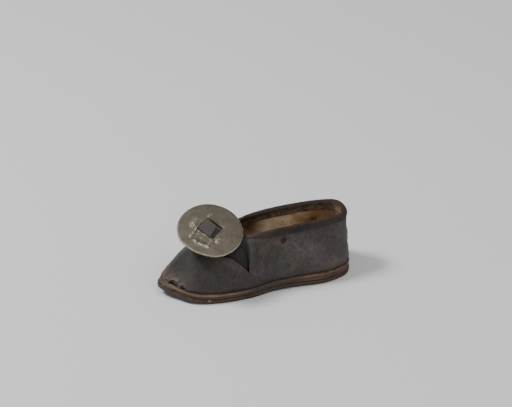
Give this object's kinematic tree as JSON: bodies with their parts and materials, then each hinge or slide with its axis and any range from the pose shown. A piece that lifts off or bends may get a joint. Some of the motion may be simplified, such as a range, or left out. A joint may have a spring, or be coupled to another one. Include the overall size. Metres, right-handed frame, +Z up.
{
  "type": "leather_shoe",
  "caption": "Small doll's shoe of dark grained leather, made straight for either foot, with a layered leather sole, bound collar, slit latchets and a round tin buckle held by a leather tab.",
  "frame": {"origin": "On the floor, at the middle of the flat spot under the heel.", "axes": "+X from heel to toe, +Y to the wearer's left, +Z up."},
  "size_m": [0.0752, 0.0294, 0.0299],
  "materials": {
    "grain_leather": "fine grain, worn satin",
    "sole_leather": "rough, scuffed",
    "raw_leather": "cut edge, matte",
    "lining_leather": "undyed, matte",
    "tin": "dull tin, dented round the hole"
  },
  "bodies": {
    "root": {"outsole": "sole_leather", "midsole": "raw_leather", "insole": "lining_leather", "upper": "grain_leather", "tongue": "grain_leather", "collar_binding": "grain_leather", "latchet_end": "grain_leather", "buckle_disc": "tin"}
  },
  "joints": []
}
